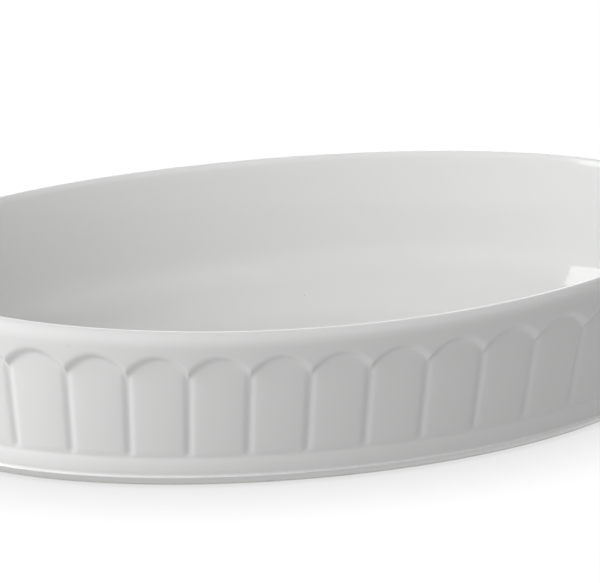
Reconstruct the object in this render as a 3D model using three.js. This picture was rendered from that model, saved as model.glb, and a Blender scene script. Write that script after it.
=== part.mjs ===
// An oval porcelain baking dish: a raked wall with an arcade of arched panels, a rolled rim that climbs a
// little towards both ends, and a foot ring that is wiped bare of glaze.
// Millimetres, +Z up. The origin lies on the table in the middle of the foot ring, and +X runs lengthwise.

import * as THREE from 'three';

// Whole dish
const RIM_LENGTH = 360; // over the outside of the rim
const RIM_WIDTH = 220;
const RIM_HEIGHT = 71; // crown of the rim at the middle of a long side
const END_RISE = 4.4; // how much higher the crown is at the two ends
const WALL = 6.5; // through the wall, measured level
const FLOOR = 6.5;
const WALL_RAKE = THREE.MathUtils.degToRad(12.5); // the wall leans in towards the floor
const FLOOR_ROUND = 27; // radius where the wall runs into the floor, inside

// Rim
const CROWN_INSET = 3.6; // crown of the rim, in from its outside
const OUTER_ROUND = 5; // height over which the outside rounds over
const INNER_ROUND = 6; // height over which the inside rounds over

// Arcade of panels
const PANELS = 36;
const RIM_BAND = 9.1; // plain band from the crown of the rim down to the crown of an arch
const ARCH_RISE = 6.5; // crown of an arch over the cusps at its sides
const STEP = 2.8; // height of the slope from the rim's band into a panel
const PANEL_DEPTH = 1.8; // a panel's edges lie this far in from the rim's band
const PANEL_SWELL = 0.3; // a panel's middle stands this far out of its edges
const GROOVE_WIDTH = 4.8;
const GROOVE_DEPTH = 0.7; // below the edges of the panels
const CREASE_DEPTH = 2.15; // crease under the panels, in from the rim's band
const CREASE_TURN = 2.6; // height over which a panel's foot turns in to the crease

// Base
const BASE_BAND = 8.2; // swelling band from the bead up to the crease
const BAND_DEPTH = 1.1; // the band's lower edge, in from the rim's band
const BAND_SWELL = 0.5; // the band's middle stands this far out of its edges
const BEAD_HEIGHT = 5.8; // the bead's edge above the table
const BEAD_PROUD = 1.5; // out of the band's lower edge
const BEAD_ROUND = 0.9;
const FOOT_TUCK = 5.1; // the foot ring's edge, in from the bead's edge
const FOOT_WIDTH = 5; // bare face that stands on the table
const WELL_DEPTH = 3; // hollow of the underside inside the foot ring
const WELL_SLOPE = 2.5; // run of the foot ring's inner side

// Glaze
const GLAZE = 0.5;
const BARE_HEIGHT = 1.2; // the foot ring is wiped clean up to here

// Heights and places that follow from these
const FLOOR_TOP = WELL_DEPTH + FLOOR;
const SHOULDER = RIM_HEIGHT - OUTER_ROUND;
const ARCH_CROWN = RIM_HEIGHT - RIM_BAND;
const CREASE = BEAD_HEIGHT + BASE_BAND;
const QUARTER = Math.PI / 2;
const HALFWAY = QUARTER / 2;

// The crown of the rim in plan. Panels share its length equally, with a groove on each axis of the oval.
const oval = new THREE.EllipseCurve(0, 0, RIM_LENGTH / 2 - CROWN_INSET, RIM_WIDTH / 2 - CROWN_INSET);
oval.arcLengthDivisions = 100 * PANELS;
const pitch = oval.getLength() / PANELS;

// Columns of a panel, as shares of the pitch: a groove's middle, the groove's edges and the arch between.
const grooveEdge = GROOVE_WIDTH / 2 / pitch;
const FLANK = 0.28; // where an arch turns down to its cusp
const SHARES = [0, grooveEdge, FLANK, 0.5, 1 - FLANK, 1 - grooveEdge];
const EVERY = [0, 1, 2, 3, 4, 5];
const FOUR = [0, 2, 3, 4];
const TWO = [0, 3];

const columns = [];
for (let panel = 0; panel < PANELS; panel++) {
  SHARES.forEach((share, slot) => {
    const along = (panel + share) / PANELS;
    const at = oval.getPointAt(along);
    const tangent = oval.getTangentAt(along);
    columns.push({
      number: columns.length,
      slot,
      share,
      at,
      outward: new THREE.Vector2(tangent.y, -tangent.x),
      rise: END_RISE * (at.x / oval.xRadius) ** 2,
    });
  });
}

// A point of the section: out from the rim's crown (negative is inward), up, and the columns that use it.
function point(out, up, slots) {
  return { out, up, slots };
}

// The raked outside of the wall, without its relief.
function wallFace(up) {
  return CROWN_INSET + (up - SHOULDER) * Math.tan(WALL_RAKE);
}

// The inside: from the flat floor round its fillet and up to the rim.
function insideOutline() {
  const lean = Math.cos(WALL_RAKE);
  const middleUp = FLOOR_TOP + FLOOR_ROUND;
  const middleOut = wallFace(middleUp) - WALL - FLOOR_ROUND / lean;
  const turns = [1, 3 / 4, 1 / 2, 1 / 4, 0].map((part) => WALL_RAKE + part * (QUARTER - WALL_RAKE));
  return turns.map((turn) =>
    point(middleOut + FLOOR_ROUND * Math.cos(turn), middleUp - FLOOR_ROUND * Math.sin(turn), TWO));
}

// The rim: a long inner round, the crown and a shorter outer round.
function rimOutline() {
  const innerUp = RIM_HEIGHT - INNER_ROUND;
  const innerWidth = WALL - wallFace(innerUp);
  const inner = (turn, slots) => point(
    -innerWidth * Math.cos(turn), innerUp + INNER_ROUND * Math.sin(turn), slots);
  const outer = (turn) => point(
    CROWN_INSET * Math.cos(turn), SHOULDER + OUTER_ROUND * Math.sin(turn), FOUR);
  return [inner(0, TWO), inner(HALFWAY, FOUR), outer(QUARTER), outer(HALFWAY), outer(0)];
}

// How far a panel lies in from the rim's band: a middle that swells out, and a V groove at its edges.
function recess(share) {
  const fromGroove = Math.min(share, 1 - share);
  const swell = PANEL_SWELL * (1 - (1 - 2 * fromGroove) ** 2);
  const groove = GROOVE_DEPTH * Math.max(0, 1 - fromGroove / grooveEdge);
  return PANEL_DEPTH - swell + groove;
}

// The arcade: arches that spring from cusps over the grooves, and panels that turn in to a crease below.
function arcadeOutline(share) {
  const radius = (pitch ** 2 / 4 + ARCH_RISE ** 2) / (2 * ARCH_RISE);
  const across = (share - 0.5) * pitch;
  const arch = ARCH_CROWN - radius + Math.sqrt(radius ** 2 - across ** 2);
  const head = arch - STEP;
  const foot = CREASE + CREASE_TURN;
  return [
    point(wallFace(arch), arch, EVERY),
    point(wallFace(head) - recess(share), head, EVERY),
    point(wallFace(foot) - recess(share), foot, EVERY),
    point(wallFace(CREASE) - CREASE_DEPTH, CREASE, EVERY),
  ];
}

const beadEdge = wallFace(BEAD_HEIGHT) - BAND_DEPTH + BEAD_PROUD;
const footEdge = beadEdge - FOOT_TUCK;
const wellEdge = footEdge - FOOT_WIDTH;

// The base: a swelling band, the bead that catches the light, and the foot's tucked side to the wiped line.
function baseOutline() {
  const bandFoot = BEAD_HEIGHT + BEAD_ROUND;
  const bandMiddle = (bandFoot + CREASE) / 2;
  const middleDepth = (CREASE_DEPTH + BAND_DEPTH) / 2 - BAND_SWELL;
  const wiped = 1 - BARE_HEIGHT / BEAD_HEIGHT;
  return [
    point(wallFace(bandMiddle) - middleDepth, bandMiddle, TWO),
    point(wallFace(bandFoot) - BAND_DEPTH, bandFoot, TWO),
    point(
      beadEdge - BEAD_ROUND * (1 - Math.cos(HALFWAY)), BEAD_HEIGHT + BEAD_ROUND * Math.sin(HALFWAY), TWO),
    point(beadEdge, BEAD_HEIGHT, TWO),
    point(beadEdge - FOOT_TUCK * wiped, BARE_HEIGHT, TWO),
  ];
}

// The glazed section of one column, from the floor up the inside, over the rim and down to the foot.
function dishOutline(share) {
  return [...insideOutline(), ...rimOutline(), ...arcadeOutline(share), ...baseOutline()];
}

// The glazed underside, from the wiped line on the foot ring's inner side onto the flat of the well.
function wellOutline() {
  const wiped = BARE_HEIGHT / WELL_DEPTH;
  const flatEdge = wellEdge - WELL_SLOPE;
  return [
    point(wellEdge - WELL_SLOPE * wiped, BARE_HEIGHT, TWO),
    point(flatEdge, WELL_DEPTH, TWO),
    point(flatEdge - FOOT_WIDTH, WELL_DEPTH, TWO),
  ];
}

// The bare ring on the table.
function footOutline() {
  return [point(footEdge, 0, TWO), point(wellEdge, 0, TWO)];
}

// Moves an outline into the clay by an even depth, square to its sides.
function sunk(outline, depth) {
  const normals = outline.slice(1).map((to, i) => {
    const from = outline[i];
    return new THREE.Vector2(from.up - to.up, to.out - from.out).normalize();
  });
  return outline.map((p, i) => {
    const before = normals[Math.max(i - 1, 0)];
    const after = normals[Math.min(i, normals.length - 1)];
    const reach = depth / (1 + before.dot(after));
    return point(p.out - reach * (before.x + after.x), p.up - reach * (before.y + after.y), p.slots);
  });
}

// A section point in space. What is above the floor is stretched towards the ends, where the rim is higher.
function place(column, p) {
  const share = Math.max(0, p.up - FLOOR_TOP) / (RIM_HEIGHT - FLOOR_TOP);
  const flat = column.outward.clone().multiplyScalar(p.out).add(column.at);
  return new THREE.Vector3(flat.x, flat.y, p.up + column.rise * share);
}

// The rings that an outline sweeps round the dish. Where the relief is plain, a ring uses fewer columns.
function sweep(outlineOf, depth = 0) {
  const outlines = columns.map((column) => sunk(outlineOf(column.share), depth));
  return outlines[0].map((sample, level) => {
    const used = columns.filter((column) => sample.slots.includes(column.slot));
    const points = used.map((column) => place(column, outlines[column.number][level]));
    return { level, points, numbers: used.map((column) => column.number) };
  });
}

// Triangles between two rings that may have different columns, as pairs of [ring, place in the ring].
function lace(first, second) {
  const size = [first.points.length, second.points.length];
  const next = (ring, i) => (i + 1 < ring.points.length ? ring.numbers[i + 1] : columns.length);
  const triangles = [];
  let i = 0;
  let j = 0;
  while (i < size[0] || j < size[1]) {
    const stepSecond = i === size[0] || (j < size[1] && next(second, j) <= next(first, i));
    const a = [first, i % size[0]];
    const b = [second, j % size[1]];
    if (stepSecond) {
      j += 1;
      triangles.push([a, b, [second, j % size[1]]]);
    } else {
      i += 1;
      triangles.push([a, b, [first, i % size[0]]]);
    }
  }
  return triangles;
}

// Rings that two pieces share are laced the same way in both, whichever way each piece runs through them.
function laceEitherWay(from, to) {
  if (from.level <= to.level) return lace(from, to);
  return lace(to, from).map(([a, b, c]) => [a, c, b]);
}

// A closed skin through rings in order, from one middle point to another.
function closedSkin(rings, firstMiddle, lastMiddle) {
  const positions = [firstMiddle, lastMiddle];
  const starts = new Map();
  rings.forEach((ring) => {
    starts.set(ring, positions.length);
    positions.push(...ring.points);
  });
  const faces = [];
  const fan = (ring, middle, turned) => ring.points.forEach((_, i) => {
    const here = starts.get(ring) + i;
    const beside = starts.get(ring) + ((i + 1) % ring.points.length);
    faces.push(...(turned ? [middle, beside, here] : [middle, here, beside]));
  });
  fan(rings[0], 0, false);
  rings.slice(1).forEach((ring, i) => {
    laceEitherWay(rings[i], ring).forEach((corners) => {
      faces.push(...corners.map(([owner, place]) => starts.get(owner) + place));
    });
  });
  fan(rings[rings.length - 1], 1, true);

  const geometry = new THREE.BufferGeometry().setFromPoints(positions);
  geometry.setIndex(faces);
  geometry.computeVertexNormals();
  return geometry;
}

function middle(up) {
  return new THREE.Vector3(0, 0, up);
}

const glazeSkin = sweep(dishOutline);
const clayUnderGlaze = sweep(dishOutline, GLAZE);
const wellSkin = sweep(wellOutline);
const clayOverWell = sweep(wellOutline, GLAZE);
const footRing = sweep(footOutline);

// The fired casting, smaller than the dish by the glaze, with the foot ring bare.
function porcelainBody() {
  const rings = [...clayUnderGlaze, ...footRing, ...clayOverWell];
  const bisque = new THREE.MeshStandardMaterial({ color: 0xe9e6df, roughness: 0.75, metalness: 0 });
  const skin = closedSkin(rings, middle(FLOOR_TOP - GLAZE), middle(WELL_DEPTH + GLAZE));
  const mesh = new THREE.Mesh(skin, bisque);
  mesh.name = 'porcelain_body';
  return mesh;
}

const clearWhite = new THREE.MeshStandardMaterial({ color: 0xf4f4f2, roughness: 0.1, metalness: 0 });

// The main coat, over the inside, the rim and the outside down to the wiped line.
function glazeCoat() {
  const rings = [...glazeSkin, ...clayUnderGlaze.toReversed()];
  const skin = closedSkin(rings, middle(FLOOR_TOP), middle(FLOOR_TOP - GLAZE));
  const mesh = new THREE.Mesh(skin, clearWhite);
  mesh.name = 'glaze_coat';
  return mesh;
}

// The separate pool of glaze on the underside, inside the bare ring.
function undersideGlaze() {
  const rings = [...clayOverWell.toReversed(), ...wellSkin];
  const skin = closedSkin(rings, middle(WELL_DEPTH + GLAZE), middle(WELL_DEPTH));
  const mesh = new THREE.Mesh(skin, clearWhite);
  mesh.name = 'underside_glaze';
  return mesh;
}

const dish = new THREE.Group();
dish.add(porcelainBody(), glazeCoat(), undersideGlaze());

export default dish;
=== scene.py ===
# %% [markdown]
# # An oval baking dish from one section
# The dish is a pressed porcelain casting under a clear glaze, and its whole shape follows one rule: a
# section is carried round an oval, and an arcade of arched panels is pressed into the outside. This lesson
# writes that rule once, as Geometry Nodes, and uses it for the clay, for its coat of glaze and for the
# glaze underneath.
# %% Load the frame
import math
from collections import namedtuple

import bpy
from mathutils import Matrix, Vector


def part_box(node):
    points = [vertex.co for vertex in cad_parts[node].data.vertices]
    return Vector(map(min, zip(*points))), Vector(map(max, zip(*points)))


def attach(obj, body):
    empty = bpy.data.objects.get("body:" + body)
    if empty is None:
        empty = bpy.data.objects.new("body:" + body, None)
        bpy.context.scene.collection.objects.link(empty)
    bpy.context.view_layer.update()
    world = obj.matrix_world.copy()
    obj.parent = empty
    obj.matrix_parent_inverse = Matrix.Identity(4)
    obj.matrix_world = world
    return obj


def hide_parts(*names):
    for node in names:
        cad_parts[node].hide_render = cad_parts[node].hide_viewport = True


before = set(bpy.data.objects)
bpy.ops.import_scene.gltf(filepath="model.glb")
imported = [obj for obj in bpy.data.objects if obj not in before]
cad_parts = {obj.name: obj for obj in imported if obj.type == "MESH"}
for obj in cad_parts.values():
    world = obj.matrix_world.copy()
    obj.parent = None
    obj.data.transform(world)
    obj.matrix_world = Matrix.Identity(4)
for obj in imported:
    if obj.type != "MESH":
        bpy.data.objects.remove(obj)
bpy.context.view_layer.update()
scene = bpy.context.scene
scene.view_settings.view_transform = "Standard"
MM = 0.001
print("pieces in the frame:", sorted(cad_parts))

# %% [markdown]
# ## The camera
# A long lens far away keeps the oval's far side nearly as large as its near side. The camera stands a
# little to the left, so more of the left end shows, and the ends run out of the picture. Turning the dish
# instead would do the same, but its pieces have to stay in the frame that all the tools share.
# %% Camera
SENSOR = 36.0
LENS = 376.93
DISTANCE = 2.6287
ELEVATION = math.radians(19.662)
TURN = math.radians(17.455)
AIM_RIGHT = 2.7 * MM
AIM_UP = 48.0 * MM

camera_right = Vector((math.cos(TURN), -math.sin(TURN), 0))
away = Vector((math.sin(TURN), math.cos(TURN), 0))
aim = camera_right * AIM_RIGHT + Vector((0, 0, AIM_UP))
eye = aim - away * DISTANCE * math.cos(ELEVATION) + Vector((0, 0, DISTANCE * math.sin(ELEVATION)))

camera = bpy.data.objects.new("camera", bpy.data.cameras.new("camera"))
camera.data.sensor_fit = "HORIZONTAL"
camera.data.sensor_width = SENSOR
camera.data.lens = LENS
camera.location = eye
camera.rotation_euler = (aim - eye).to_track_quat("-Z", "Y").to_euler()
scene.collection.objects.link(camera)
scene.camera = camera
print("camera stands at", [round(value, 3) for value in eye])

# %% [markdown]
# ## Writing nodes as sums
# Shape and finish are both worked out by nodes here. Wiring each Math node by hand would bury the rule, so
# a Wire holds one output of a node, and Python's own signs add Math nodes to it: a rule then reads like a
# formula. A Board is a node tree with one method that adds any other node.
# %% Wires
class Wire:
    """An output of a node that can be used in a sum."""

    def __init__(self, board, socket):
        self.board = board
        self.socket = socket

    def sum(self, operation, first, second):
        node = self.board.add("ShaderNodeMath", {"operation": operation}, {0: first, 1: second})
        return Wire(self.board, node.outputs[0])

    def __add__(self, other):
        return self.sum("ADD", self, other)

    def __sub__(self, other):
        return self.sum("SUBTRACT", self, other)

    def __mul__(self, other):
        return self.sum("MULTIPLY", self, other)

    def __truediv__(self, other):
        return self.sum("DIVIDE", self, other)

    def __pow__(self, other):
        return self.sum("POWER", self, other)

    def __rsub__(self, other):
        return self.sum("SUBTRACT", other, self)

    __radd__ = __add__
    __rmul__ = __mul__


# %% Boards
class Board:
    """A node tree, with one way to add a node: its type, its settings, and what goes into its sockets."""

    def __init__(self, tree):
        self.tree = tree
        tree.nodes.clear()

    def add(self, kind, settings=None, inputs=None):
        node = self.tree.nodes.new(kind)
        for name, value in (settings or {}).items():
            setattr(node, name, value)
        for key, value in (inputs or {}).items():
            socket = node.inputs[key]
            if isinstance(value, Wire):
                self.tree.links.new(value.socket, socket)
            else:
                socket.default_value = value
        return node

    def wire(self, kind, settings=None, inputs=None, output=0):
        return Wire(self, self.add(kind, settings, inputs).outputs[output])

    def math(self, operation, *values):
        return self.wire("ShaderNodeMath", {"operation": operation}, dict(enumerate(values)))

    def smooth(self, value, low, high):
        """0 below low, 1 above high and an S between."""
        settings = {"interpolation_type": "SMOOTHSTEP"}
        return self.wire("ShaderNodeMapRange", settings, {"Value": value, "From Min": low, "From Max": high})


# %% [markdown]
# ## The white room
# A studio shows a white dish before a white sweep of paper. A room full of white light would wash the
# relief out, so the white is given by kind of ray instead: the camera, the reflections and glass see it,
# and it throws no light on the dish. Above the sweep the room is darker, which keeps a shape in the glaze's
# reflections.
# %% White room
SWEEP_TOP = (0.4, 0.75)
OVERHEAD = 0.5


def seen_white(board):
    """1 on rays from the camera, in reflections and through glass, and 0 on rays that light surfaces."""
    path = board.add("ShaderNodeLightPath")
    seen = Wire(board, path.outputs["Is Camera Ray"])
    for name in ("Is Glossy Ray", "Is Transmission Ray"):
        seen = board.math("MAXIMUM", seen, Wire(board, path.outputs[name]))
    return seen


def white_room():
    """A world that is white all round and greyer overhead, to the eye and in reflections alone."""
    world = bpy.data.worlds.new("white room")
    world.use_nodes = True
    board = Board(world.node_tree)
    direction = board.wire("ShaderNodeTexCoord", None, None, "Generated")
    height = board.wire("ShaderNodeSeparateXYZ", None, {0: direction}, "Z")
    white = 1 - (1 - OVERHEAD) * board.smooth(height, *SWEEP_TOP)
    air = {"Color": (1, 1, 1, 1), "Strength": white * seen_white(board)}
    board.add("ShaderNodeOutputWorld", None, {"Surface": board.wire("ShaderNodeBackground", None, air)})
    return world


scene.world = white_room()
print("world:", scene.world.name)

# %% [markdown]
# ## The floor
# The dish stands on a white sheet. To the eye the sheet takes a little light from the lamps and otherwise
# glows by itself, and less so where the dish covers it from the open room: an Ambient Occlusion node
# measures that cover, and it makes the soft shade round the foot. To the dish the sheet is an even glow,
# which is the light that a pale table throws back up under the rim.
# %% Floor
FLOOR_SIZE = 8.0
FLOOR_TONE = 0.08
FLOOR_LIFT = 0.95
FLOOR_SHADE = 0.3
SHADE_REACH = 45 * MM
FLOOR_GLOW = 0.44


def white_sheet():
    """White paper to the eye, shaded near the dish, and an even glow to the surfaces round it."""
    material = bpy.data.materials.new("white sheet")
    material.use_nodes = True
    board = Board(material.node_tree)
    paper = board.wire("ShaderNodeBsdfDiffuse", None, {"Color": (FLOOR_TONE, FLOOR_TONE, FLOOR_TONE, 1)})
    openness = board.wire("ShaderNodeAmbientOcclusion", None, {"Distance": SHADE_REACH}, "AO")
    under = board.wire("ShaderNodeEmission", None, {"Strength": FLOOR_LIFT - FLOOR_SHADE})
    beside = board.wire("ShaderNodeEmission", None, {"Strength": FLOOR_LIFT})
    lift = board.wire("ShaderNodeMixShader", None, {0: openness, 1: under, 2: beside})
    shown = board.wire("ShaderNodeAddShader", None, {0: paper, 1: lift})
    glow = board.wire("ShaderNodeEmission", None, {"Strength": FLOOR_GLOW})
    sheet = board.wire("ShaderNodeMixShader", None, {0: seen_white(board), 1: glow, 2: shown})
    board.add("ShaderNodeOutputMaterial", None, {"Surface": sheet})
    return material


half = FLOOR_SIZE / 2
mesh = bpy.data.meshes.new("floor")
mesh.from_pydata([(-half, -half, 0), (half, -half, 0), (half, half, 0), (-half, half, 0)], [], [(0, 1, 2, 3)])
mesh.materials.append(white_sheet())
floor = bpy.data.objects.new("floor", mesh)
scene.collection.objects.link(floor)
print("floor:", FLOOR_SIZE, "m square")

# %% [markdown]
# ## The lamps
# Softboxes stand round the dish as in a product studio. The window at the left is the main one: it is
# mirrored in the glaze, as a streak on the rim and a bright patch inside, and it leans a little. The
# backdrop lights the rim from behind. The rest are fills, most of them hidden from reflections, so that the
# glaze stays calm.
# %% Lamps
Softbox = namedtuple("Softbox", "left above distance width height watts mirrored")
SOFTBOXES = {
    "window": Softbox(66, 33, 1.3, 0.54, 0.7, 3.9, True),
    "window_spread": Softbox(66, 31, 1.3, 0.8, 0.8, 3.7, False),
    "left_low": Softbox(80, 18, 1.3, 0.8, 0.8, 2.6, False),
    "left_fill": Softbox(30, 20, 1.3, 0.8, 0.8, 4.5, False),
    "front_fill": Softbox(0, 12, 1.5, 0.8, 0.8, 1.8, False),
    "right_front": Softbox(-55, 42, 1.3, 1.0, 0.8, 1.0, True),
    "right_high": Softbox(-98, 60, 1.2, 0.8, 0.8, 4.2, False),
    "backdrop": Softbox(180, 20, 1.5, 2.4, 1.2, 14.9, True),
}
WINDOW_LEAN = math.radians(18)


def hang(name, box):
    """A lamp facing the dish, so many degrees left of the camera and above the floor, in metres and watts."""
    left, above = math.radians(box.left), math.radians(box.above)
    flat = -away * math.cos(left) - camera_right * math.sin(left)
    toward = flat * math.cos(above) + Vector((0, 0, math.sin(above)))
    data = bpy.data.lights.new(name, "AREA")
    data.shape = "RECTANGLE"
    data.size, data.size_y = box.width, box.height
    data.energy = box.watts
    lamp = bpy.data.objects.new(name, data)
    lamp.location = toward * box.distance
    lamp.rotation_euler = (-toward).to_track_quat("-Z", "Y").to_euler()
    lamp.visible_camera = False
    lamp.visible_glossy = box.mirrored
    scene.collection.objects.link(lamp)
    return lamp


lamps = {name: hang(name, box) for name, box in SOFTBOXES.items()}
lamps["window"].rotation_euler.rotate_axis("Z", WINDOW_LEAN)
print("lamps:", list(lamps))

# %% [markdown]
# ## Glaze
# The glaze is clear glass over white clay, so the colour is the clay's and the gloss is the glass's. It is
# never quite even: it sags in slow waves and pricks open here and there. In the hollows of the relief the
# colour is darker and a little cooler, partly the glaze's own tint where it pools and partly painted shade,
# and on the rim's crown, the lip and the bead it is lighter, which is a painted highlight. Noise would
# scatter these anywhere, so the rule that makes the shape also marks its hollows and its highlighted
# rounds, and the finish reads those marks.
# %% Glaze
CLAY_WHITE = (0.84, 0.84, 0.835, 1)
# painted highlight: the lighter white of the rim's crown, the lip and the bead
HIGHLIGHT_WHITE = (0.94, 0.94, 0.935, 1)
# partly the glaze's own tint where it pools, partly painted shade in the hollows of the relief
POOL_AND_SHADE_WHITE = (0.79, 0.795, 0.795, 1)
PRICK_GREY = (0.5, 0.49, 0.47, 1)
POOLED_AND_SHADED = (0.9, 1.7)
WAVES, WAVE_HEIGHT = 38.0, 0.25 * MM
PEEL, PEEL_HEIGHT = 700.0, 0.004 * MM
PRICKS, PRICK_RADIUS, PRICK_DEPTH = 40.0, (0.007, 0.015), 0.1 * MM
GLAZE_BUMP = 0.5
GLASS_ROUGHNESS, WAVE_ROUGHNESS = 0.03, 0.04
GLASS_IOR = 1.58


def blend(board, share, first, second):
    """A colour between two colours."""
    return board.wire("ShaderNodeMix", {"data_type": "RGBA"}, {0: share, 6: first, 7: second}, 2)


def glaze():
    """Clear glass on white clay, from the marks of the shape and three textures."""
    material = bpy.data.materials.new("clear glaze on porcelain")
    material.use_nodes = True
    board = Board(material.node_tree)
    place = board.wire("ShaderNodeTexCoord", None, None, "Object")
    slow = board.wire("ShaderNodeTexNoise", None, {"Vector": place, "Scale": WAVES, "Detail": 1.0})
    fine = board.wire("ShaderNodeTexNoise", None, {"Vector": place, "Scale": PEEL, "Detail": 2.0})
    pricks = board.wire("ShaderNodeTexVoronoi", None, {"Vector": place, "Scale": PRICKS}, "Distance")
    prick = 1 - board.smooth(pricks, *PRICK_RADIUS)
    # depth of the relief, read for the painted shade in the hollows
    hollow = board.wire("ShaderNodeAttribute", {"attribute_name": "hollow"}, None, "Fac")
    # the mark of the painted highlight on the crown, lip and bead
    highlight_share = board.wire("ShaderNodeAttribute", {"attribute_name": "edge"}, None, "Fac")
    # painted shade, partly pooling tint: darker and cooler the deeper the relief is pressed
    glass = blend(board, board.smooth(hollow, *POOLED_AND_SHADED), CLAY_WHITE, POOL_AND_SHADE_WHITE)
    # painted highlight: the colour goes towards the lighter white where that mark is set
    colour = blend(board, prick, blend(board, highlight_share, glass, HIGHLIGHT_WHITE), PRICK_GREY)
    height = slow * WAVE_HEIGHT + fine * PEEL_HEIGHT - prick * PRICK_DEPTH
    bump = board.wire("ShaderNodeBump", None, {"Strength": GLAZE_BUMP, "Distance": 1.0, "Height": height})
    roughness = GLASS_ROUGHNESS + WAVE_ROUGHNESS * slow
    skin = {"Base Color": colour, "Roughness": roughness, "Normal": bump, "IOR": GLASS_IOR}
    surface = board.wire("ShaderNodeBsdfPrincipled", None, skin)
    board.add("ShaderNodeOutputMaterial", None, {"Surface": surface})
    return material


GLAZE_FINISH = glaze()
print("finish:", GLAZE_FINISH.name)

# %% [markdown]
# ## Bare porcelain
# The foot ring is wiped before firing so that the dish doesn't stick to the kiln's shelf. What is left is
# fired clay: dull, a little warmer than the glaze, fine-grained, and greyed where it has been set down on
# tables. Two noises do for it, one for the grain and one for the scuffs, because no pattern of the shape
# shows there.
# %% Bare porcelain
BISQUE = (0.86, 0.84, 0.8, 1)
SCUFFED = (0.6, 0.585, 0.56, 1)
GRAINS, GRAIN_HEIGHT = 2200.0, 0.06 * MM
SCUFFS, SCUFF_EDGE, SCUFF_SHARE = 90.0, (0.52, 0.72), 0.5
BISQUE_BUMP = 0.6
BISQUE_ROUGHNESS, GRAIN_ROUGHNESS = 0.62, 0.2


def bisque():
    """Dull fired clay with a fine grain and grey scuffs."""
    material = bpy.data.materials.new("bare fired porcelain")
    material.use_nodes = True
    board = Board(material.node_tree)
    place = board.wire("ShaderNodeTexCoord", None, None, "Object")
    grain = board.wire("ShaderNodeTexNoise", None, {"Vector": place, "Scale": GRAINS, "Detail": 3.0})
    patch = board.wire("ShaderNodeTexNoise", None, {"Vector": place, "Scale": SCUFFS, "Detail": 4.0})
    colour = blend(board, board.smooth(patch, *SCUFF_EDGE) * SCUFF_SHARE, BISQUE, SCUFFED)
    relief = {"Strength": BISQUE_BUMP, "Distance": 1.0, "Height": grain * GRAIN_HEIGHT}
    bump = board.wire("ShaderNodeBump", None, relief)
    roughness = BISQUE_ROUGHNESS + GRAIN_ROUGHNESS * grain
    skin = {"Base Color": colour, "Roughness": roughness, "Normal": bump}
    surface = board.wire("ShaderNodeBsdfPrincipled", None, skin)
    board.add("ShaderNodeOutputMaterial", None, {"Surface": surface})
    return material


BISQUE_FINISH = bisque()
print("finish:", BISQUE_FINISH.name)

# %% [markdown]
# ## The section
# A potter would cut this section as a template. It could be drawn as a curve, but here it is a list of
# rows, from the middle of the floor, up the inside, over the rim and down the outside, so that rows can
# crowd where the form turns. A row says how far out from the rim's crown it lies, how high, how far it is
# pulled to the middle of the floor, how much of the relief is pressed into it, and how much painted
# highlight lightens the glaze there.
# %% Overall sizes
END_RISE = 4.4 * MM
GLAZE = 0.5 * MM
FLOOR_THICKNESS = 6.5 * MM

coat_low, coat_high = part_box("glaze_coat")
RIM_LENGTH = coat_high.x - coat_low.x
RIM_WIDTH = coat_high.y - coat_low.y
RIM_HEIGHT = coat_high.z - END_RISE
WIPED = coat_low.z
WELL_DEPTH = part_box("underside_glaze")[1].z - GLAZE
FLOOR_TOP = WELL_DEPTH + FLOOR_THICKNESS
print("rim, in mm:", [round(size / MM, 1) for size in (RIM_LENGTH, RIM_WIDTH, RIM_HEIGHT)])

# %% Arcs, bends and runs
Row = namedtuple("Row", "out up pull relief edge", defaults=(0.0, 0.0, 0.0))


def arc(middle, radii, start, end, steps):
    """Rows along part of an ellipse, with angles in radians from straight out."""
    turns = [start + (end - start) * step / steps for step in range(steps + 1)]
    return [Row(middle[0] + radii[0] * math.cos(a), middle[1] + radii[1] * math.sin(a)) for a in turns]


def bend(start, corner, end, steps):
    """Rows along a smooth bend that leaves start and reaches end in the directions of the corner."""
    rows = []
    for step in range(steps + 1):
        t = step / steps
        weights = ((1 - t) ** 2, 2 * t * (1 - t), t ** 2)
        places = [sum(w * p[i] for w, p in zip(weights, (start, corner, end))) for i in (0, 1)]
        rows.append(Row(*places))
    return rows


def heights(top, bottom, steps):
    """Even heights from top to bottom, both included."""
    return [top + (bottom - top) * step / steps for step in range(steps + 1)]


# %% [markdown]
# ## Rim and wall
# The rim is rolled: an oval quarter turns from its crown to the outside and runs into the raked wall. A
# quarter of a fixed length would meet the wall at a kink, so it goes on until its own slope is the wall's.
# Inside, a broad bend joins wall and floor, so that a spoon reaches everywhere, and a smaller one rounds
# the lip, whose top carries a painted highlight.
# %% Rim and wall
RAKE = math.radians(12.5)
CROWN_INSET = 3.6 * MM
OUTER_ROUND = 5 * MM

outer_end = -math.atan(math.tan(RAKE) * OUTER_ROUND / CROWN_INSET)
outer_middle = (0, RIM_HEIGHT - OUTER_ROUND)
outer_round = arc(outer_middle, (CROWN_INSET, OUTER_ROUND), math.pi / 2, outer_end, steps=11)
WALL_TOP = outer_round[-1]


def wall_face(up):
    """How far out the raked outside of the wall is at a height."""
    return WALL_TOP.out + (up - WALL_TOP.up) * math.tan(RAKE)


print("the wall starts", round(WALL_TOP.up / MM, 1), "mm up")

# %% Inside
WALL = 6.5 * MM
FLOOR_BEND = 25 * MM
FLOOR_PULLS = (1.0, 0.5, 0.15)
LIP = 6 * MM
# HIGHLIGHT_REACH: how far below the crown the painted highlight reaches
HIGHLIGHT_REACH = 2.5 * MM


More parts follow.
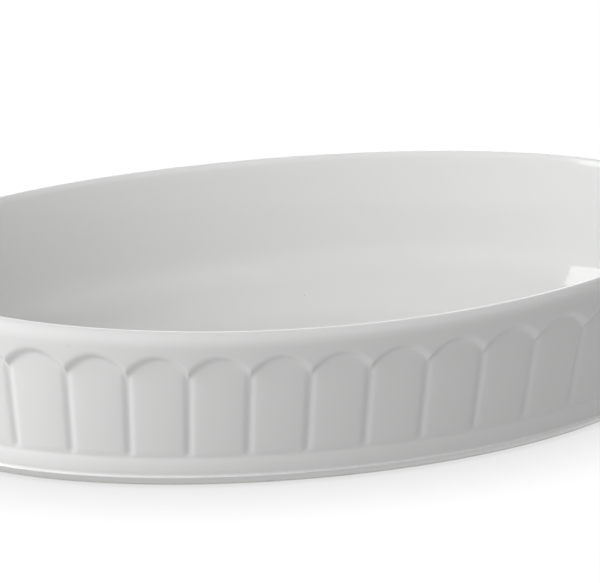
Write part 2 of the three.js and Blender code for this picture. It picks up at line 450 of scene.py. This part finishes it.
def inside_rows():
    """The floor, its bend, the inside of the wall and the rim's inner round, up to the crown."""
    corner = (wall_face(FLOOR_TOP) - WALL, FLOOR_TOP)
    foot = (corner[0] - FLOOR_BEND, FLOOR_TOP)
    wall_foot = FLOOR_TOP + FLOOR_BEND * math.cos(RAKE)
    fillet = bend(foot, corner, (wall_face(wall_foot) - WALL, wall_foot), steps=12)
    flat = [Row(foot[0], FLOOR_TOP, pull) for pull in FLOOR_PULLS]
    lip_foot = RIM_HEIGHT - LIP
    lip_corner = (wall_face(RIM_HEIGHT) - WALL, RIM_HEIGHT)
    inner_round = bend((wall_face(lip_foot) - WALL, lip_foot), lip_corner, (0, RIM_HEIGHT), steps=9)
    wall = [Row(wall_face(up) - WALL, up) for up in heights(wall_foot, lip_foot, steps=3)[1:-1]]
    return flat + fillet + wall + inner_round


def highlighted_towards_crown(rows):
    """The same rows, marked for a painted highlight that grows towards the crown of the rim."""
    return [row._replace(edge=max(row.edge, 1 - (RIM_HEIGHT - row.up) / HIGHLIGHT_REACH)) for row in rows]


inside = highlighted_towards_crown(inside_rows())
print("rows of the inside:", len(inside))

# %% [markdown]
# ## Outside and base
# The outside of the wall is a straight rake. Even rows would have to be close all the way down, so they
# crowd only where the arches and the crease under the panels will be pressed in. Below, a plain band swells
# a little and ends in a fine bead, and under the bead the foot tucks in, so that fingers can lift the dish.
# %% Outside
ARCH_CROWN = 62.8 * MM
ARCH_ZONE = 49.0 * MM
CREASE_ZONE = 18.4 * MM
BEAD_HEIGHT = 5.1 * MM
CREASE = BEAD_HEIGHT + 8.3 * MM


def arcade_rows():
    """The outside of the wall, from the rim's round to the crease, all of it open to the relief."""
    band = heights(WALL_TOP.up, ARCH_CROWN, steps=2)[1:]
    arches = heights(ARCH_CROWN, ARCH_ZONE, steps=24)[1:]
    panels = heights(ARCH_ZONE, CREASE_ZONE, steps=5)[1:]
    turn = heights(CREASE_ZONE, CREASE, steps=9)[1:]
    return [Row(wall_face(up), up, 0.0, 1.0) for up in band + arches + panels + turn]


outside = outer_round[1:] + arcade_rows()
print("rows of the outside:", len(outside))

# %% Band, bead and foot
CREASE_DEPTH = 2.45 * MM
BAND_DEPTH = 1.0 * MM
BAND_SWELL = 0.5 * MM
SWELL_CURVE = 2.5
BEAD_RISE = 0.65 * MM
BEAD_PROUD = 0.6 * MM
BEAD_ROUND = 0.3 * MM
BEAD_TILT = math.radians(50)
# how much painted highlight the band's foot gets, and over how many bead rows it fades
BAND_FOOT_HIGHLIGHT = 0.6
BEAD_HIGHLIGHT_ROWS = 4
FOOT_TUCK = 5.3 * MM

BAND_FOOT = BEAD_HEIGHT + BEAD_RISE
BEAD_EDGE = wall_face(BAND_FOOT) - BAND_DEPTH + BEAD_PROUD
FOOT_EDGE = BEAD_EDGE - FOOT_TUCK


def band_rows():
    """The swelling band from the crease to the bead, whose last row takes part of the painted highlight."""
    rows = []
    for up in heights(CREASE, BAND_FOOT, steps=9)[1:]:
        share = (CREASE - up) / (CREASE - BAND_FOOT)
        swell = BAND_SWELL * (1 - abs(2 * share - 1) ** SWELL_CURVE)
        depth = CREASE_DEPTH + (BAND_DEPTH - CREASE_DEPTH) * share
        rows.append(Row(wall_face(up) - depth + swell, up))
    # painted highlight: the band's last row gets part of it
    rows[-1] = rows[-1]._replace(edge=BAND_FOOT_HIGHLIGHT)
    return rows


def bead_rows():
    """The bead, with a painted highlight on top, and the tucked side of the foot down to the wiped line."""
    tuck = math.atan2(FOOT_TUCK, BEAD_HEIGHT)
    middle = (BEAD_EDGE - BEAD_ROUND, BEAD_HEIGHT)
    bead = arc(middle, (BEAD_ROUND, BEAD_ROUND), BEAD_TILT, -tuck, steps=6)
    last = bead[-1]
    side = []
    for up in heights(last.up, WIPED, steps=3)[1:]:
        share = (last.up - up) / last.up
        side.append(Row(last.out + (FOOT_EDGE - last.out) * share, up))
    # painted highlight on the bead's first rows, fading downwards
    return [row._replace(edge=max(0.0, 1 - i / BEAD_HIGHLIGHT_ROWS)) for i, row in enumerate(bead)] + side


glazed = inside + outside + band_rows() + bead_rows()
print("rows of the whole glazed section:", len(glazed))

# %% [markdown]
# ## Underside and clay
# Underneath, the foot is a ring round a shallow well, so the dish stands on a narrow bare line and doesn't
# rock. The clay is the same section half a millimetre deeper. Scaling the section down would thin the coat
# in some places and fatten it in others, so every row is moved square to the section by the same depth. The
# coat hides that clay, and every third row is enough for it.
# %% Underside and foot ring
FOOT_WIDTH = 5 * MM
EASE_OUT = 0.28 * MM
EASE_IN = 0.2 * MM
EASE_UP = 0.32 * MM
WELL_SLOPE = 2.5 * MM
WELL_TURN = 2.3 * MM
WELL_TURN_SHARE = 0.94
WELL_FLAT = 3.75 * MM
WELL_PULLS = (0.3, 1.0)
WELL_EDGE = FOOT_EDGE - FOOT_WIDTH


def underside_rows():
    """The glazed underside, from the wiped line on the foot's inner side to the middle of the well."""
    start = Row(WELL_EDGE - WELL_SLOPE * WIPED / WELL_DEPTH, WIPED)
    turn = Row(WELL_EDGE - WELL_TURN, WELL_DEPTH * WELL_TURN_SHARE)
    flat = Row(WELL_EDGE - WELL_FLAT, WELL_DEPTH)
    middle = [Row(flat.out, WELL_DEPTH, pull) for pull in WELL_PULLS]
    return [start, turn, flat] + middle


def foot_rows():
    """The bare ring, with its two edges eased."""
    outer = [Row(FOOT_EDGE + EASE_OUT, EASE_UP), Row(FOOT_EDGE - EASE_IN, 0.0)]
    inner = [Row(WELL_EDGE + EASE_IN, 0.0), Row(WELL_EDGE - EASE_IN, EASE_UP)]
    return outer + inner


underside = underside_rows()
foot_ring = foot_rows()
print("rows of the underside:", len(underside), "and of the bare ring:", len(foot_ring))

# %% Clay
CLAY_STRIDE = 3


def sunk(rows, depth):
    """The same rows moved into the clay by an even depth, square to the section."""
    moved = []
    for i, row in enumerate(rows):
        before = rows[max(i - 1, 0)]
        after = rows[min(i + 1, len(rows) - 1)]
        run = (after.out - before.out) - (after.pull - before.pull) * RIM_WIDTH / 2
        rise = after.up - before.up
        length = math.hypot(run, rise)
        moved.append(row._replace(out=row.out + depth * rise / length, up=row.up - depth * run / length))
    return moved


clay_under_coat = sunk(glazed, GLAZE)
clay_under_coat = clay_under_coat[:-1:CLAY_STRIDE] + clay_under_coat[-1:]
clay_over_underside = sunk(underside, GLAZE)
print("rows of the clay:", len(clay_under_coat) + len(foot_ring) + len(clay_over_underside))

# %% [markdown]
# ## The rule: a section round an oval
# The arches, grooves and creases repeat all round, and each depends only on where a point lies across its
# panel and how high it is. So the wall isn't carved with cutters: a grid takes its columns from the oval
# and its rows from the section, and a formula presses every point in by the depth of the relief there. The
# sizes are named inputs of the tree, so the same rule serves another dish.
# %% Inputs of the rule
RULE_INPUTS = {
    "Half length": "NodeSocketFloat",
    "Half width": "NodeSocketFloat",
    "Floor": "NodeSocketFloat",
    "Rim": "NodeSocketFloat",
    "End rise": "NodeSocketFloat",
    "Panels": "NodeSocketInt",
    "Panel columns": "NodeSocketInt",
    "Arch crown": "NodeSocketFloat",
    "Arch rise": "NodeSocketFloat",
    "Arch step": "NodeSocketFloat",
    "Panel depth": "NodeSocketFloat",
    "Panel swell": "NodeSocketFloat",
    "Groove width": "NodeSocketFloat",
    "Groove depth": "NodeSocketFloat",
    "Crease": "NodeSocketFloat",
    "Crease turn": "NodeSocketFloat",
    "Crease depth": "NodeSocketFloat",
    "Finish": "NodeSocketMaterial",
}

rule = bpy.data.node_groups.new("section round an oval", "GeometryNodeTree")
rule.interface.new_socket("Section", in_out="INPUT", socket_type="NodeSocketGeometry")
rule.interface.new_socket("Piece", in_out="OUTPUT", socket_type="NodeSocketGeometry")
SOCKETS = {}
for title, kind in RULE_INPUTS.items():
    SOCKETS[title] = rule.interface.new_socket(title, in_out="INPUT", socket_type=kind).identifier
board = Board(rule)
entry = board.add("NodeGroupInput")
given = {title: Wire(board, entry.outputs[title]) for title in ("Section", *RULE_INPUTS)}
print("inputs of the rule:", len(given))

# %% [markdown]
# ## Columns and rows
# A grid numbers its points column by column, so a point's index gives its column and its row. Panels share
# out the oval's length evenly, and inside a panel the columns crowd towards the grooves, where the surface
# turns fastest. More columns all over would give the same edge, but far more faces. Rounding can leave a
# whole number a hair short, so a little is added before its whole part is taken.
# %% Columns and rows
CROWDING = 0.5
HALF_POINT = 0.5
NUDGE = 0.0001

counted = {"Geometry": given["Section"]}
rows = board.wire("GeometryNodeAttributeDomainSize", {"component": "MESH"}, counted, "Point Count")
columns = given["Panels"] * given["Panel columns"]
grid = board.wire("GeometryNodeMeshGrid", None, {"Vertices X": columns + 1, "Vertices Y": rows})
index = board.wire("GeometryNodeInputIndex")
column = board.math("FLOOR", (index + HALF_POINT) / rows)
row = index - column * rows
steps = column / given["Panel columns"]
even = board.math("FRACT", steps + NUDGE)
share = even - CROWDING * board.math("SINE", even * math.tau) / math.tau
along = (board.math("FLOOR", steps + NUDGE) + share) / given["Panels"]
print("nodes for columns and rows:", len(rule.nodes))

# %% [markdown]
# ## On the oval and on the section
# The oval is a circle stretched to the crown of the rim, sampled by length, because even steps of the
# circle would make the panels at the ends narrower than those on the sides. Its outward direction comes
# from the slope of the ellipse's equation, and the point's place on the section is read from the row that
# the grid point stands for.
# %% Place on the oval
OVAL_POINTS = 2880

circle_inputs = {"Resolution": OVAL_POINTS, "Radius": 1.0}
circle = board.wire("GeometryNodeCurvePrimitiveCircle", {"mode": "RADIUS"}, circle_inputs)
halves = board.wire("ShaderNodeCombineXYZ", None, {0: given["Half length"], 1: given["Half width"], 2: 1.0})
oval = board.wire("GeometryNodeTransform", None, {"Geometry": circle, "Scale": halves})
by_length = {"mode": "FACTOR", "use_all_curves": True}
on_oval = board.wire("GeometryNodeSampleCurve", by_length, {"Curves": oval, "Factor": along}, "Position")
oval_place = board.add("ShaderNodeSeparateXYZ", None, {0: on_oval})
oval_x, oval_y = Wire(board, oval_place.outputs[0]), Wire(board, oval_place.outputs[1])
steep_x = oval_x / given["Half length"] ** 2
steep_y = oval_y / given["Half width"] ** 2
steepness = board.math("SQRT", steep_x * steep_x + steep_y * steep_y)
print("nodes with the oval:", len(rule.nodes))


# %% Place on the section
def from_row(kind, value):
    """What the section holds at the row of each grid point."""
    sampled = {"Geometry": given["Section"], "Value": value, "Index": row}
    return board.wire("GeometryNodeSampleIndex", {"data_type": kind, "domain": "POINT"}, sampled)


def mark(name):
    """A mark that the section's rows carry under a name."""
    return board.wire("GeometryNodeInputNamedAttribute", {"data_type": "FLOAT"}, {"Name": name})


on_section = from_row("FLOAT_VECTOR", board.wire("GeometryNodeInputPosition"))
section_place = board.add("ShaderNodeSeparateXYZ", None, {0: on_section})
out, pull, up = (Wire(board, socket) for socket in section_place.outputs)
relief = from_row("FLOAT", mark("relief"))
# the row's share of the painted highlight
edge = from_row("FLOAT", mark("edge"))
print("nodes with the section:", len(rule.nodes))

# %% [markdown]
# ## Depth of the relief
# A mould presses all of the arcade at once. Here its depth is a sum of soft steps: a panel starts under its
# arch, whose step is equally wide all along the curve, a groove deepens its sides a little below the arch,
# the middle swells, and at the bottom it turns into the crease above the band.
# %% Depth of the relief
ARCH_EASE = 1.6
ARCH_CURVE = 2.0
GROOVE_TOP = (0.3, 1.7)

pitch = board.wire("GeometryNodeCurveLength", None, {"Curve": oval}) / given["Panels"]
from_middle = board.math("ABSOLUTE", (share - 0.5) * pitch)
aside = from_middle / (pitch / 2)
arch = given["Arch crown"] - given["Arch rise"] * aside ** ARCH_CURVE
slant = given["Arch rise"] / (pitch / 2) * ARCH_CURVE * aside ** (ARCH_CURVE - 1)
step = given["Arch step"] * board.math("SQRT", 1 + slant * slant)
below_arch = board.math("MAXIMUM", (arch - up) / step, 0.0)
inside_arch = board.smooth(below_arch ** ARCH_EASE, 0.0, 1.0)
in_groove = board.math("MINIMUM", (pitch / 2 - from_middle) / (given["Groove width"] / 2), 1.0)
bottom = (1 + board.math("COSINE", in_groove * math.pi)) / 2
groove = given["Groove depth"] * bottom * board.smooth(below_arch, *GROOVE_TOP)
swell = given["Panel swell"] * (1 - (2 * share - 1) ** 2)
panel = given["Panel depth"] - swell + groove
above_crease = board.smooth(up - given["Crease"], 0.0, given["Crease turn"])
pressed = given["Crease depth"] + (panel - given["Crease depth"]) * above_crease
depth = relief * inside_arch * pressed
print("nodes with the relief:", len(rule.nodes))

# %% [markdown]
# ## Setting the points
# Every point goes out from the oval by the section's reach, less the relief's depth. The rim rises towards
# the ends. A bend modifier could raise them, but it would bend the foot too, so points are lifted there by
# more the higher above the floor they are. The depth, which the glaze turns partly into painted shade, and
# the painted highlight are kept as marks for the glaze, and points that meet at the seam and in the middle
# of the floor are merged.
# %% Set the points and close the piece
SAME_PLACE = 1e-6

reach = out - depth
ring_x = (oval_x + reach * steep_x / steepness) * (1 - pull)
ring_y = (oval_y + reach * steep_y / steepness) * (1 - pull)
lift = board.math("MAXIMUM", up - given["Floor"], 0.0) / (given["Rim"] - given["Floor"])
rise = given["End rise"] * (oval_x / given["Half length"]) ** 2
point = board.wire("ShaderNodeCombineXYZ", None, {0: ring_x, 1: ring_y, 2: up + rise * lift})
shaped = board.wire("GeometryNodeSetPosition", None, {"Geometry": grid, "Position": point})
# the depth is kept for the painted shade in the hollows, the other mark for the painted highlight
for name, value in {"hollow": depth / given["Panel depth"], "edge": edge}.items():
    kept = {"Geometry": shaped, "Name": name, "Value": value}
    shaped = board.wire("GeometryNodeStoreNamedAttribute", {"data_type": "FLOAT", "domain": "POINT"}, kept)
closed = board.wire("GeometryNodeMergeByDistance", None, {"Geometry": shaped, "Distance": SAME_PLACE})
outward = board.wire("GeometryNodeFlipFaces", None, {"Mesh": closed})
soft = board.wire("GeometryNodeSetShadeSmooth", None, {"Geometry": outward})
real = board.wire("GeometryNodeRealizeInstances", None, {"Geometry": soft})
finished = board.wire("GeometryNodeSetMaterial", None, {"Geometry": real, "Material": given["Finish"]})
board.add("NodeGroupOutput", None, {"Piece": finished})
print("nodes in the rule:", len(rule.nodes))

# %% [markdown]
# ## Clay, coat and underside
# The same rule makes all three pieces. A Solidify modifier could thicken the coat, but its inside would
# then miss the clay here and there, so the coat is closed by running back along the clay's own rows, and
# the clay by the bare ring and the well. Every piece becomes a plain mesh in the end, because that is what
# the library keeps.
# %% Sizes for the rule
SIZES = {
    "Half length": RIM_LENGTH / 2 - CROWN_INSET,
    "Half width": RIM_WIDTH / 2 - CROWN_INSET,
    "Floor": FLOOR_TOP,
    "Rim": RIM_HEIGHT,
    "End rise": END_RISE,
    "Panels": 36,
    "Panel columns": 20,
    "Arch crown": ARCH_CROWN,
    "Arch rise": 6.2 * MM,
    "Arch step": 4.6 * MM,
    "Panel depth": 2.4 * MM,
    "Panel swell": 0.3 * MM,
    "Groove width": 5.6 * MM,
    "Groove depth": 0.7 * MM,
    "Crease": CREASE,
    "Crease turn": 3.2 * MM,
    "Crease depth": CREASE_DEPTH,
}
print("panels round the dish:", SIZES["Panels"])


# %% Sweep a section
def swept(name, rows, finish):
    """A piece of the dish: the rows as a chain of points, carried round the oval and kept as a mesh."""
    chain = bpy.data.meshes.new(name + "_section")
    points = [(row.out, row.pull, row.up) for row in rows]
    chain.from_pydata(points, [(i, i + 1) for i in range(len(rows) - 1)], [])
    for title in ("relief", "edge"):
        marks = chain.attributes.new(title, "FLOAT", "POINT")
        marks.data.foreach_set("value", [getattr(row, title) for row in rows])
    section = bpy.data.objects.new(name + "_section", chain)
    modifier = section.modifiers.new("sweep", "NODES")
    modifier.node_group = rule
    for title, value in {**SIZES, "Finish": finish}.items():
        modifier[SOCKETS[title]] = value
    scene.collection.objects.link(section)
    graph = bpy.context.evaluated_depsgraph_get()
    made = section.evaluated_get(graph)
    shape = bpy.data.meshes.new_from_object(made, preserve_all_data_layers=True, depsgraph=graph)
    section.modifiers.remove(modifier)
    bpy.data.objects.remove(section)
    piece = bpy.data.objects.new(name, shape)
    scene.collection.objects.link(piece)
    triangles = sum(len(face.vertices) - 2 for face in shape.polygons)
    print(name, "has", len(rows), "rows and", triangles, "triangles")
    return piece


# %% The three pieces
def hand_over(piece, node):
    """Fix a piece to the dish, in place of its CAD node, which is hidden."""
    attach(piece, "root")
    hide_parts(node)


coat = swept("fine_glaze_coat", glazed + clay_under_coat[::-1], GLAZE_FINISH)
body = swept("fine_porcelain_body", clay_under_coat + foot_ring + clay_over_underside, BISQUE_FINISH)
pool = swept("fine_underside_glaze", clay_over_underside[::-1] + underside, GLAZE_FINISH)
hand_over(coat, "glaze_coat")
hand_over(body, "porcelain_body")
hand_over(pool, "underside_glaze")
